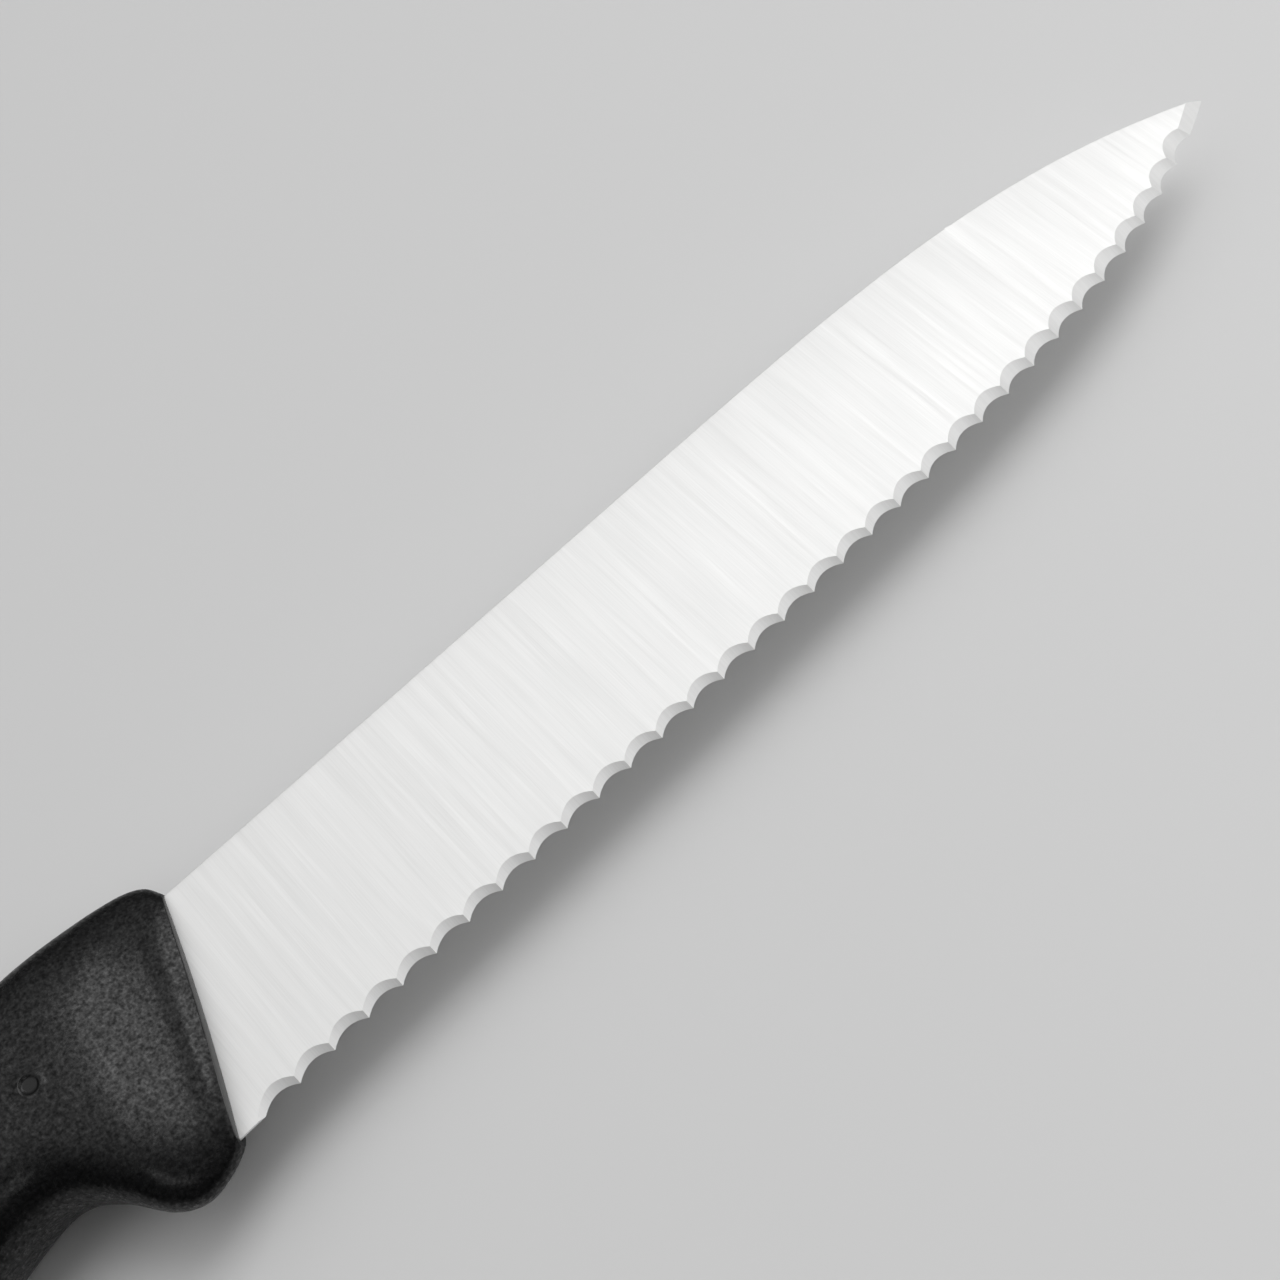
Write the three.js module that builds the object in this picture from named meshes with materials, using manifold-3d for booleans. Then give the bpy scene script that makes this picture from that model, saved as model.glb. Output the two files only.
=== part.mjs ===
// Vegetable knife, in millimetres. A stamped, flat-ground steel blade has scallops ground into one side
// of its edge, and its tang is keyed into a plastic handle with a finger guard.
// The knife lies on its left side: +X points to the tip, +Y to the spine and +Z up, to the scalloped side.

import * as THREE from 'three';
import { ConvexGeometry } from 'three/addons/geometries/ConvexGeometry.js';
import { mergeVertices } from 'three/addons/utils/BufferGeometryUtils.js';
import Module from 'manifold-3d';

// Blade outline, measured from the point where the spine leaves the handle
const BLADE_LENGTH = 107.2;
const BLADE_HEIGHT = 18.6; // from the spine to the edge at the heel
const JUNCTION_LEAN = 6.5; // the heel lies this far behind the end of the spine
const SPINE_STRAIGHT = 50;
const SPINE_TIP_ANGLE = 25; // degrees
const TIP_DROP = 7.9; // the tip lies this far below the spine
const EDGE_STRAIGHT = 46.5;
const EDGE_SLOPE = 1.27; // degrees
const EDGE_TIP_ANGLE = 28; // degrees

// Pull of the outline's two curves at their ends, as shares of the curved stretch
const SPINE_PULL_START = 0.43;
const SPINE_PULL_TIP = 0.32;
const EDGE_PULL_START = 0.6;
const EDGE_PULL_TIP = 0.21;

// Blade thickness: the sheet at the spine, then the ground blade at the heel's edge, in line with the spine
// at the fore, where it starts to thin faster, and at the tip
const SHEET_THICKNESS = 1.5;
const EDGE_THICKNESS = 0.27;
const FORE = 83;
const FORE_THICKNESS = 1.42;
const TIP_THICKNESS = 0.525;

// Scallops along the edge
const SCALLOP_PITCH = 3.3;
const SCALLOP_DEPTH = 0.7; // from the points of the teeth, in the plane of the blade
const BEVEL_ANGLE = 25; // degrees
const PLAIN_HEEL = 2.3;
const TIP_FACET = 3.6;

// Tang, hidden in the handle
const SHOULDER_DEPTH = 2.5; // the full height of the blade runs this far into the handle
const TANG_OVERLAP = 1; // the full sheet thickness starts this far before the shoulder's back
const TANG_LENGTH = 62;
const TANG_HEIGHT = 10.2;
const TANG_BELOW = 5.65; // from the spine down to the middle of the tang
const TANG_CORNER = 2.5;
const KEY_HOLE_RADIUS = 2.2;
const FRONT_HOLE_BACK = 24;
const REAR_HOLE_FROM_END = 10;
const FIT_GAP = 0.25; // between steel and plastic

// Handle front: a thin lip round the blade, and sections behind it. Each section has its way back from the
// lip, its top above the spine, its bottom below the spine, half its thickness, and the power of its lower
// half, which is a super-ellipse.
const LIP_MARGIN = 0.7; // above the spine and below the heel
const LIP_WALL = 1; // over each face of the blade
const LIP_POWER = 3.4;
const COLLAR = { back: 0.8, top: 1.65, low: 19.55, half: 2.16, power: 2.7 };
const VALLEY = { back: 2.3, top: 2.5, low: 20.2, half: 2.4, power: 2.5 };
const GUARD = { back: 4.4, top: 2.9, low: 20.4, half: 2.97, power: 2.5 };
const SWELL = { back: 6.6, top: 2.95, low: 19.15, half: 3.8, power: 2.5 };
const FINGER_FRONT = { back: 9, top: 2.85, low: 16.05, half: 4.5, power: 2.6 };
const FINGER_BEND = { back: 11.5, top: 2.75, low: 14.15, half: 4.88, power: 2.6 };
const NECK = { back: 14.5, top: 2.6, low: 14, half: 5.24, power: 2.6 };
const GRIP_START = { back: 21, top: 2.6, low: 15.5, half: 5.95, power: 2.5 };

// Handle grip, behind the guard
const HANDLE_LENGTH = 108;
const GRIP_THICKNESS = 14; // across the two flat sides
const SIDE_CROWN = 0.6; // the flats take this much off each bulging side
const GRIP_POWER = 2.3; // of the grip's lower half
const UPPER_SHARE = 1.3; // the upper half of every section is this much squarer
const CROWN = 2.6; // the handle's top above the spine
const PALM_HEIGHT = 19.4;
const BELLY_HEIGHT = 20.3;
const WAIST_FROM_END = 28;
const WAIST_HEIGHT = 17.2;
const WAIST_TOP_DROP = 1.25; // below the crown
const HOOK_HEIGHT = 18.2;
const HOOK_TOP_DROP = 3.85;
const BUTT_HEIGHT = 15.6;
const BUTT_TOP_DROP = 5.85;
const BUTT_ROUND = 6.4;

// Round marks that the mould's pins leave on both sides
const MARK_RADIUS = 0.7;
const MARK_FLOOR = 4.75; // from the middle plane
const MARK_BACK = 14.4;
const MARK_BELOW = 6.9;

// Fineness of the facets
const CURVE_STEPS = 24;
const GROOVE_SIDES = 56;
const ROUND_SIDES = 24;
const RINGS_PER_STATION = 5;
const RING_SIDES = 36;

const wasm = await Module();
wasm.setup();

// Solids

function solidOf(geometry, matrix) {
  const bare = new THREE.BufferGeometry();
  bare.setAttribute('position', geometry.getAttribute('position').clone());
  bare.setIndex(geometry.index);
  if (matrix) bare.applyMatrix4(matrix);
  const welded = mergeVertices(bare);
  return new wasm.Manifold(new wasm.Mesh({
    numProp: 3,
    vertProperties: new Float32Array(welded.getAttribute('position').array),
    triVerts: new Uint32Array(welded.index.array),
  }));
}

function geometryOf(solid) {
  const { vertProperties, triVerts, numProp } = solid.getMesh();
  const geometry = new THREE.BufferGeometry();
  geometry.setAttribute('position', new THREE.BufferAttribute(vertProperties, numProp));
  geometry.setIndex(new THREE.BufferAttribute(triVerts, 1));
  geometry.computeVertexNormals();
  return geometry;
}

// An outline in the plane of the blade, extruded evenly to both sides of it
function plate(shape, thickness) {
  const geometry = new THREE.ExtrudeGeometry(shape, {
    depth: thickness,
    bevelEnabled: false,
    curveSegments: CURVE_STEPS,
  });
  return solidOf(geometry, new THREE.Matrix4().makeTranslation(0, 0, -thickness / 2));
}

// Blade outline

const along = (point, degrees, distance) => {
  const angle = THREE.MathUtils.degToRad(degrees);
  return new THREE.Vector2(point.x + distance * Math.cos(angle), point.y + distance * Math.sin(angle));
};

const junctionX = (y) => JUNCTION_LEAN * y / BLADE_HEIGHT;
const edgeRise = Math.tan(THREE.MathUtils.degToRad(EDGE_SLOPE));

const tip = new THREE.Vector2(BLADE_LENGTH, -TIP_DROP);
const heel = new THREE.Vector2(-JUNCTION_LEAN, -BLADE_HEIGHT);
const spineTurn = new THREE.Vector2(SPINE_STRAIGHT, 0);
const edgeTurn = new THREE.Vector2(heel.x + EDGE_STRAIGHT, heel.y + EDGE_STRAIGHT * edgeRise);
const shoulderTop = new THREE.Vector2(-SHOULDER_DEPTH, 0);
const shoulderLow = new THREE.Vector2(heel.x - SHOULDER_DEPTH, heel.y - SHOULDER_DEPTH * edgeRise);

const spineSpan = tip.x - spineTurn.x;
const edgeSpan = tip.x - edgeTurn.x;
const spineCurve = new THREE.CubicBezierCurve(
  spineTurn,
  along(spineTurn, 0, spineSpan * SPINE_PULL_START),
  along(tip, 180 - SPINE_TIP_ANGLE, spineSpan * SPINE_PULL_TIP),
  tip,
);
const edgeCurve = new THREE.CubicBezierCurve(
  edgeTurn,
  along(edgeTurn, EDGE_SLOPE, edgeSpan * EDGE_PULL_START),
  along(tip, 180 + EDGE_TIP_ANGLE, edgeSpan * EDGE_PULL_TIP),
  tip,
);

function bladeShape() {
  const spinePoints = spineCurve.getPoints(CURVE_STEPS);
  const edgePoints = edgeCurve.getPoints(CURVE_STEPS).reverse();
  return new THREE.Shape([shoulderTop, ...spinePoints, ...edgePoints.slice(1), shoulderLow]);
}

// Blade thickness: each face closes towards the edge and the tip, and bends at the fore

const edgeTaper = (SHEET_THICKNESS - EDGE_THICKNESS) / 2 / BLADE_HEIGHT;
const foreTaper = (SHEET_THICKNESS - FORE_THICKNESS) / 2 / FORE;
const plainTip = SHEET_THICKNESS / 2 - edgeTaper * TIP_DROP - foreTaper * BLADE_LENGTH;
const tipTaper = (plainTip - TIP_THICKNESS / 2) / (BLADE_LENGTH - FORE);

function halfThickness(x, y) {
  const past = Math.max(0, x - FORE);
  return SHEET_THICKNESS / 2 + edgeTaper * y - foreTaper * x - tipTaper * past;
}

// The hull of both faces. At the tip they would meet below the edge, so the hull ends there.
function groundWedge(grow) {
  const corners = [];
  for (const x of [shoulderLow.x - grow, FORE, tip.x]) {
    const meet = -halfThickness(x, 0) / edgeTaper;
    for (const y of [Math.max(shoulderLow.y - grow, meet), grow]) {
      const half = halfThickness(x, y) + grow;
      corners.push(new THREE.Vector3(x, y, half), new THREE.Vector3(x, y, -half));
    }
  }
  return solidOf(new ConvexGeometry(corners));
}

// Scalloped edge: round grooves and one flat facet at the tip, all sunk along the bevel

const bevel = THREE.MathUtils.degToRad(BEVEL_ANGLE);
const grooveSink = SCALLOP_DEPTH * Math.sin(bevel);
const grooveRadius = ((SCALLOP_PITCH / 2) ** 2 + grooveSink ** 2) / (2 * grooveSink);
const cutterSize = 2 * grooveRadius;

function edgeLine() {
  const line = new THREE.CurvePath();
  line.add(new THREE.LineCurve(heel, edgeTurn));
  line.add(edgeCurve);
  return line;
}

// Places a cutter on the bevel plane at a distance along the edge: its X runs along the edge and its Y up
// the bevel, and its origin is lifted off the bevel plane.
function bevelPlace(line, distance, lift) {
  const share = distance / line.getLength();
  const point = line.getPointAt(share);
  const way = line.getTangentAt(share);
  const run = new THREE.Vector3(way.x, way.y, 0).normalize();
  const inward = new THREE.Vector3(-run.y, run.x, 0);
  const up = new THREE.Vector3(0, 0, 1);
  const climb = inward.clone().multiplyScalar(Math.cos(bevel)).addScaledVector(up, Math.sin(bevel));
  const normal = new THREE.Vector3().crossVectors(run, climb);
  const onLeftFace = new THREE.Vector3(point.x, point.y, -halfThickness(point.x, point.y));
  const place = new THREE.Matrix4().makeBasis(run, climb, normal);
  return place.setPosition(onLeftFace.addScaledVector(normal, lift));
}

function cutScallops(blade) {
  const line = edgeLine();
  const room = line.getLength() - PLAIN_HEEL - TIP_FACET;
  const count = Math.floor(room / SCALLOP_PITCH);
  const groove = new THREE.CylinderGeometry(grooveRadius, grooveRadius, cutterSize, GROOVE_SIDES);
  let cut = blade;
  for (let i = 0; i < count; i += 1) {
    const centre = PLAIN_HEEL + (i + 0.5) * SCALLOP_PITCH;
    cut = cut.subtract(solidOf(groove, bevelPlace(line, centre, grooveRadius - grooveSink)));
  }
  const facetStart = PLAIN_HEEL + count * SCALLOP_PITCH;
  const facetLength = line.getLength() - facetStart;
  const facet = new THREE.BoxGeometry(facetLength + cutterSize, cutterSize, cutterSize);
  facet.translate(cutterSize / 2, 0, cutterSize / 2); // it runs from the last scallop past the tip
  return cut.subtract(solidOf(facet, bevelPlace(line, facetStart + facetLength / 2, 0)));
}

// Tang: a rounded strip of the full sheet, with holes that key it into the plastic. Grown, it is the strip's
// pocket, whose holes shrink by as much.

function tangShape(grow) {
  const top = -TANG_BELOW + TANG_HEIGHT / 2 + grow;
  const low = -TANG_BELOW - TANG_HEIGHT / 2 - grow;
  const back = -TANG_LENGTH - grow;
  const corner = TANG_CORNER + grow;
  const start = TANG_OVERLAP - SHOULDER_DEPTH + grow;
  const shape = new THREE.Shape();
  shape.moveTo(junctionX(top) + start, top);
  shape.lineTo(back + corner, top);
  shape.absarc(back + corner, top - corner, corner, Math.PI / 2, Math.PI);
  shape.absarc(back + corner, low + corner, corner, Math.PI, 1.5 * Math.PI);
  shape.lineTo(junctionX(low) + start, low);
  for (const hole of [-FRONT_HOLE_BACK, REAR_HOLE_FROM_END - TANG_LENGTH]) {
    shape.holes.push(new THREE.Path().absarc(hole, -TANG_BELOW, KEY_HOLE_RADIUS - grow, 0, 2 * Math.PI));
  }
  return shape;
}

// The front of the tang's pocket, where the full height of the blade enters the handle
function shoulderShape(grow) {
  const corner = (y, back) => new THREE.Vector2(junctionX(y) - back, y);
  const low = shoulderLow.y - grow;
  const back = SHOULDER_DEPTH + grow;
  return new THREE.Shape([corner(grow, back), corner(low, back), corner(low, -back), corner(grow, -back)]);
}

function makeBlade() {
  const ground = plate(bladeShape(), SHEET_THICKNESS).intersect(groundWedge(0));
  return cutScallops(ground).add(plate(tangShape(0), SHEET_THICKNESS));
}

// Handle: sections through named stations, from the lip round the blade back to the butt. Each section spans
// from a top point to a bottom point. The top line also carries half the section's thickness, and the bottom
// line the power of its lower half.

const station = (topX, topY, bottomX, bottomY, half, power) => ({
  top: new THREE.Vector3(topX, topY, half),
  bottom: new THREE.Vector3(bottomX, bottomY, power),
});

// These lie as slanted as the line between handle and blade
function frontStations() {
  const lipLow = -(BLADE_HEIGHT + LIP_MARGIN);
  const lipHalf = SHEET_THICKNESS / 2 + LIP_WALL;
  const lip = station(junctionX(LIP_MARGIN), LIP_MARGIN, junctionX(lipLow), lipLow, lipHalf, LIP_POWER);
  const sections = [COLLAR, VALLEY, GUARD, SWELL, FINGER_FRONT, FINGER_BEND, NECK, GRIP_START];
  return [lip, ...sections.map(({ back, top, low, half, power }) => (
    station(-back, top, -JUNCTION_LEAN - back, -low, half, power)
  ))];
}

function gripStations() {
  const half = GRIP_THICKNESS / 2 + SIDE_CROWN;
  const upright = (x, topY, height) => station(x, topY, x, topY - height, half, GRIP_POWER);
  const neckX = -JUNCTION_LEAN - NECK.back;
  const waistX = WAIST_FROM_END - HANDLE_LENGTH;
  const bellyX = (neckX + waistX) / 2;
  return [
    upright((neckX + bellyX) / 2, CROWN, PALM_HEIGHT),
    upright(bellyX, CROWN, BELLY_HEIGHT),
    upright(waistX, CROWN - WAIST_TOP_DROP, WAIST_HEIGHT),
    upright(BUTT_ROUND - HANDLE_LENGTH, CROWN - HOOK_TOP_DROP, HOOK_HEIGHT),
    upright(-HANDLE_LENGTH, CROWN - BUTT_TOP_DROP, BUTT_HEIGHT),
  ];
}

const stations = [...frontStations(), ...gripStations()];
const topLine = new THREE.CatmullRomCurve3(stations.map((s) => s.top), false, 'catmullrom', 0.5);
const bottomLine = new THREE.CatmullRomCurve3(stations.map((s) => s.bottom), false, 'catmullrom', 0.5);

const powerOf = (value, power) => Math.sign(value) * Math.abs(value) ** (2 / power);

// One section at a share of the way along the stations. Close to the butt it shrinks, which rounds the end.
function ring(share) {
  const top = topLine.getPoint(share);
  const bottom = bottomLine.getPoint(share);
  const toEnd = Math.max(0, HANDLE_LENGTH + (top.x + bottom.x) / 2);
  const inRound = Math.max(0, BUTT_ROUND - toEnd);
  const shrink = BUTT_ROUND - Math.sqrt(BUTT_ROUND ** 2 - inRound ** 2);
  const span = top.y - bottom.y;
  const points = [];
  for (let i = 0; i < RING_SIDES; i += 1) {
    const angle = 2 * Math.PI * i / RING_SIDES;
    const power = Math.cos(angle) > 0 ? UPPER_SHARE * bottom.z : bottom.z;
    const height = powerOf(Math.cos(angle), power) * (1 - 2 * shrink / span);
    const mix = (1 - height) / 2;
    const side = powerOf(Math.sin(angle), power) * (top.z - shrink);
    points.push(
      THREE.MathUtils.lerp(top.x, bottom.x, mix),
      THREE.MathUtils.lerp(top.y, bottom.y, mix),
      side,
    );
  }
  return points;
}

function loft(rings) {
  const index = [];
  const at = (i, j) => i * RING_SIDES + (j % RING_SIDES);
  for (let i = 0; i + 1 < rings.length; i += 1) {
    for (let j = 0; j < RING_SIDES; j += 1) {
      index.push(at(i, j), at(i + 1, j), at(i, j + 1));
      index.push(at(i, j + 1), at(i + 1, j), at(i + 1, j + 1));
    }
  }
  const last = rings.length - 1;
  for (let j = 1; j + 1 < RING_SIDES; j += 1) {
    index.push(at(0, 0), at(0, j), at(0, j + 1));
    index.push(at(last, 0), at(last, j + 1), at(last, j));
  }
  const geometry = new THREE.BufferGeometry();
  geometry.setAttribute('position', new THREE.Float32BufferAttribute(rings.flat(), 3));
  geometry.setIndex(index);
  return solidOf(geometry);
}

function makeGrip() {
  const spans = stations.length - 1;
  const rings = [];
  for (let i = 0; i < (spans - 1) * RINGS_PER_STATION; i += 1) {
    rings.push(ring(i / (spans * RINGS_PER_STATION)));
  }
  const endSteps = 2 * RINGS_PER_STATION;
  for (let i = 0; i <= endSteps; i += 1) {
    const turn = Math.sin(Math.PI / 2 * i / endSteps);
    rings.push(ring((spans - 1 + turn) / spans));
  }
  const reach = 2 * (HANDLE_LENGTH + BLADE_HEIGHT);
  const flats = solidOf(new THREE.BoxGeometry(reach, reach, GRIP_THICKNESS));
  return loft(rings).intersect(flats);
}

function makeHandle() {
  const pocketThickness = SHEET_THICKNESS + 2 * FIT_GAP;
  const shoulderPocket = plate(shoulderShape(FIT_GAP), pocketThickness).intersect(groundWedge(FIT_GAP));
  const pocket = plate(tangShape(FIT_GAP), pocketThickness).add(shoulderPocket);
  const pinLength = GRIP_THICKNESS / 2 - MARK_FLOOR;
  const pin = new THREE.CylinderGeometry(MARK_RADIUS, MARK_RADIUS, pinLength, ROUND_SIDES);
  pin.rotateX(Math.PI / 2);
  const pinMiddle = MARK_FLOOR + pinLength / 2;
  let handle = makeGrip().subtract(pocket);
  for (const side of [pinMiddle, -pinMiddle]) {
    const place = new THREE.Matrix4().makeTranslation(-MARK_BACK, -MARK_BELOW, side);
    handle = handle.subtract(solidOf(pin, place));
  }
  return handle;
}

// Assembly

const steel = new THREE.MeshStandardMaterial({ color: 0xe6e6e4, roughness: 0.35, metalness: 1 });
const plastic = new THREE.MeshStandardMaterial({ color: 0x1c1d1f, roughness: 0.6, metalness: 0 });

function piece(name, solid, material) {
  const mesh = new THREE.Mesh(geometryOf(solid), material);
  mesh.name = name;
  return mesh;
}

const knife = new THREE.Group();
knife.add(piece('blade', makeBlade(), steel));
knife.add(piece('handle', makeHandle(), plastic));

// The origin is under the middle of the whole knife, on the surface that it lies on
const box = new THREE.Box3().setFromObject(knife);
const middle = box.getCenter(new THREE.Vector3());
knife.position.set(-middle.x, -middle.y, -box.min.z);

export default knife;
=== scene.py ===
# Dresses the vegetable knife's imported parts: a stamped steel blade with a scalloped edge, and a grained
# plastic handle moulded round its tang. Shapes are worked out in millimetres from the point where the
# spine leaves the handle, with +X to the tip, +Y to the spine and +Z up, then put in the part's frame.

import math
from functools import partial
from types import SimpleNamespace

import bmesh
import bpy
from bpy.props import FloatProperty, FloatVectorProperty, PointerProperty
from mathutils import Euler, Matrix, Vector
from mathutils.geometry import interpolate_bezier


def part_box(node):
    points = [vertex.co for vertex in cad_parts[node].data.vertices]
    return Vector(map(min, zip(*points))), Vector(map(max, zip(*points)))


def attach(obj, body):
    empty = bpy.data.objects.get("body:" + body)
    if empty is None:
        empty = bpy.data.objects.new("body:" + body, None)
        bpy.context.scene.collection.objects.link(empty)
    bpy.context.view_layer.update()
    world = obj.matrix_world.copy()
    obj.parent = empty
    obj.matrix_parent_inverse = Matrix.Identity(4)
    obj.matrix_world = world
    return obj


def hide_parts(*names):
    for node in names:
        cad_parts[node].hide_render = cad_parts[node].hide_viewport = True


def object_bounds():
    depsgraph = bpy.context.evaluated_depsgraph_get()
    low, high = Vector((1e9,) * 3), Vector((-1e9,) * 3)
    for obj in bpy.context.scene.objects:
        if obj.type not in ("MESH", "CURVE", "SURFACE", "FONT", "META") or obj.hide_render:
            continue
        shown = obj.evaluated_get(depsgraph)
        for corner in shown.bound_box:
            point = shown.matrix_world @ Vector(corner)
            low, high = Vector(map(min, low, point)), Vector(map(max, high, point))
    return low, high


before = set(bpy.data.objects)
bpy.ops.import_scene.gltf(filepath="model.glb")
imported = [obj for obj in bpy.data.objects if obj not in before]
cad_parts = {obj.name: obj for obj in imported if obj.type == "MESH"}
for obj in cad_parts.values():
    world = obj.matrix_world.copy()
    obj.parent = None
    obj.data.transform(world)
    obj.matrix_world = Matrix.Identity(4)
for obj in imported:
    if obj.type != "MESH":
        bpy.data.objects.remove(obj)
CAD_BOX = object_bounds()

bl_info = {
    "name": "Vegetable Knife",
    "version": (1, 0, 0),
    "blender": (4, 5, 0),
    "location": "View3D > Sidebar > Knife",
    "description": "Builds a vegetable knife, with a scalloped steel blade in a moulded plastic handle",
    "category": "Add Mesh",
}

MM = 0.001
BLADE_LENGTH = 107.2
BLADE_LOW, BLADE_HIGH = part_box("blade")
SPINE_START = Vector((
    BLADE_HIGH.x - BLADE_LENGTH * MM,
    BLADE_HIGH.y,
    (BLADE_LOW.z + BLADE_HIGH.z) / 2,
))

# Fineness of the meshes
CURVE_STEPS = 64
GROOVE_SIDES = 160
ROUND_SIDES = 48
RING_SIDES = 96
RINGS_PER_SPAN = 16
SPINE_SEGMENTS = 3
CORNER_SEGMENTS = 8
MARK_CUTS = 9
BLADE_CREASE = math.radians(20.0)
HANDLE_CREASE = math.radians(40.0)

# How near two places count as one, in millimetres and in decimals of a millimetre
TOUCH = 1e-4
DECIMALS = 3

# Sections of the handle's front: the way back from the lip, the top above the spine, the bottom below
# the spine, half the thickness, and the power of the lower half, which is a super-ellipse
COLLAR = (0.8, 1.65, 19.55, 2.16, 2.7)
VALLEY = (2.3, 2.5, 20.2, 2.4, 2.5)
GUARD = (4.4, 2.9, 20.4, 2.97, 2.5)
SWELL = (6.6, 2.95, 19.15, 3.92, 2.6)
FINGER_FRONT = (9.0, 2.85, 16.05, 4.52, 2.9)
FINGER_BEND = (11.5, 2.75, 14.15, 4.88, 3.0)
NECK = (14.5, 2.6, 14.0, 5.26, 2.8)
GRIP_START = (21.0, 2.6, 15.5, 5.95, 2.5)
FRONT_SECTIONS = (COLLAR, VALLEY, GUARD, SWELL, FINGER_FRONT, FINGER_BEND, NECK, GRIP_START)
LIP_POWER = 3.4
GRIP_POWER = 2.3
UPPER_SHARE = 1.3  # the upper half of every section is this much squarer

# Front of the handle's lip, from the slot to the outside: share of the way, and share of the easing back
LIP_PROFILE = ((0.0, 1.0), (0.06, 0.3), (0.15, 0.0), (0.5, 0.0), (0.75, 0.1), (0.9, 0.35), (1.0, 0.8))
BOW_DEPTH = 0.8  # how far the lip's bow runs into the slot

# Marks of the mould's pins, in shares of their radius: the wall round the floor, the end of the rim, the
# end of the pressed part, and the end of the finer mesh
MARK_WALL = 0.35
MARK_RIM_END = 1.7
MARK_REACH = 2.0
MARK_MESH = 3.0


# Settings


def length(label, words, millimetres):
    """A setting for a length."""
    return FloatProperty(
        name=label, description=words, default=millimetres * MM, min=0.0, precision=5, unit="LENGTH"
    )


def angle(label, words, degrees):
    """A setting for an angle."""
    return FloatProperty(
        name=label, description=words, default=math.radians(degrees), subtype="ANGLE", unit="ROTATION"
    )


def share(label, words, value):
    """A setting for a share of a whole."""
    return FloatProperty(
        name=label, description=words, default=value, min=0.0, max=1.0, subtype="FACTOR"
    )


def number(label, words, value):
    """A setting for a plain number."""
    return FloatProperty(name=label, description=words, default=value, min=0.0)


def colour(label, words, value):
    """A setting for a colour."""
    return FloatVectorProperty(
        name=label, description=words, default=value, size=3, min=0.0, max=1.0, subtype="COLOR"
    )


class BladeSizes(bpy.types.PropertyGroup):
    length: length("Length", "From the handle to the tip", BLADE_LENGTH)
    height: length("Height", "From the spine to the edge at the heel", 18.6)
    lean: length("Lean", "How far the heel lies behind the end of the spine", 6.5)
    spine_straight: length("Straight spine", "Straight part of the spine", 50)
    spine_tip_angle: angle("Spine at the tip", "Fall of the spine at the tip", 25)
    spine_pull_start: share("Spine pull", "Pull of the spine's curve where it starts", 0.43)
    spine_pull_tip: share("Spine pull at the tip", "Pull of the spine's curve at the tip", 0.32)
    spine_round: length("Spine rounding", "Rounding of the spine's two edges", 0.12)
    tip_drop: length("Tip drop", "How far the tip lies below the spine", 7.9)
    edge_straight: length("Straight edge", "Straight part of the edge", 46.5)
    edge_slope: angle("Edge slope", "Rise of the straight part of the edge", 1.27)
    edge_tip_angle: angle("Edge at the tip", "Rise of the edge at the tip", 28)
    edge_pull_start: share("Edge pull", "Pull of the edge's curve where it starts", 0.6)
    edge_pull_tip: share("Edge pull at the tip", "Pull of the edge's curve at the tip", 0.21)
    sheet: length("Sheet", "Thickness of the sheet at the spine", 1.5)
    edge_thickness: length("Edge thickness", "Thickness of the ground blade at the heel", 0.27)
    fore: length("Fore", "Where the blade starts to thin faster towards the tip", 83)
    fore_thickness: length("Fore thickness", "Thickness in line with the spine there", 1.42)
    tip_thickness: length("Tip thickness", "Thickness of the ground blade at the tip", 0.525)
    scallop_pitch: length("Scallop pitch", "From tooth to tooth", 3.3)
    scallop_depth: length("Scallop depth", "From the points of the teeth", 0.7)
    bevel_angle: angle("Bevel", "Angle of the scallops to the blade", 25)
    plain_heel: length("Plain heel", "Part of the edge before the first scallop", 2.3)
    tip_facet: length("Tip facet", "Least length of the flat facet at the tip", 3.6)
    shoulder: length("Shoulder", "How far the full height runs into the handle", 2.5)
    tang_overlap: length("Tang overlap", "How far the tang runs into the shoulder", 1)
    tang_length: length("Tang length", "From the end of the spine to the tang's end", 62)
    tang_height: length("Tang height", "Height of the strip", 10.2)
    tang_below: length("Tang below", "From the spine down to the middle of the tang", 5.65)
    tang_corner: length("Tang corner", "Rounding of the tang's two corners", 2.5)
    key_hole: length("Key hole", "Radius of the holes that key the tang", 2.2)
    front_hole: length("Front hole", "From the end of the spine back to the first hole", 24)
    rear_hole: length("Rear hole", "From the second hole to the tang's end", 10)


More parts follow.
